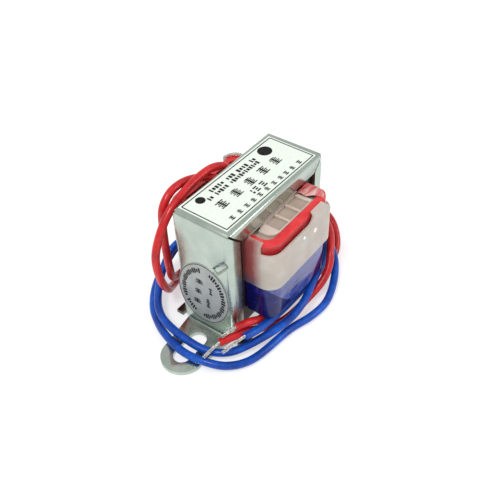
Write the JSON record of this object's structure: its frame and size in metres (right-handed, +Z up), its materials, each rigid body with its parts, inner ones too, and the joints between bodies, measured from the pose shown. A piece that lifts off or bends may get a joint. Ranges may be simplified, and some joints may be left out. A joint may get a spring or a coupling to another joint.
{
  "type": "chassis-mount laminated transformer",
  "caption": "Small mains transformer with an interleaved laminated core in a folded channel frame with slotted mounting ears, taped coils under milky covers, and loose hook-up leads.",
  "frame": {"origin": "centre of the frame's underside, on the surface that the ears stand on", "axes": "+X from ear to ear, +Y from the front coil to the rear coil, +Z up through the frame's top plate"},
  "size_m": [0.0544, 0.0338, 0.028],
  "materials": {
    "zinc_steel": "bright zinc plating, soft sheen",
    "core_steel": "dark annealed electrical steel edges",
    "bobbin_nylon": "moulded, slightly translucent",
    "enamelled_copper": "enamelled copper turns",
    "red_tape": "glossy polyester tape",
    "blue_tape": "glossy polyester tape",
    "milky_cover": "milky translucent moulding",
    "label_paper": null,
    "sticker_foil": null,
    "red_pvc": "soft PVC insulation",
    "blue_pvc": "soft PVC insulation",
    "tinned_copper": "tinned stranded copper"
  },
  "bodies": {
    "root": {"channel_frame": "zinc_steel", "e_laminations_up": "core_steel", "e_laminations_down": "core_steel", "i_laminations_top": "core_steel", "i_laminations_bottom": "core_steel", "bobbin": "bobbin_nylon", "primary_winding": "enamelled_copper", "secondary_winding": "enamelled_copper", "primary_tape": "red_tape", "secondary_tape": "blue_tape", "front_cover": "milky_cover", "rear_cover": "milky_cover", "top_label": "label_paper", "side_sticker": "sticker_foil", "red_lead_1": "red_pvc", "red_lead_2": "red_pvc", "blue_lead_1": "blue_pvc", "blue_lead_2": "blue_pvc", "red_tip_1": "tinned_copper", "red_tip_2": "tinned_copper", "blue_tip_1": "tinned_copper", "blue_tip_2": "tinned_copper"}
  },
  "joints": []
}
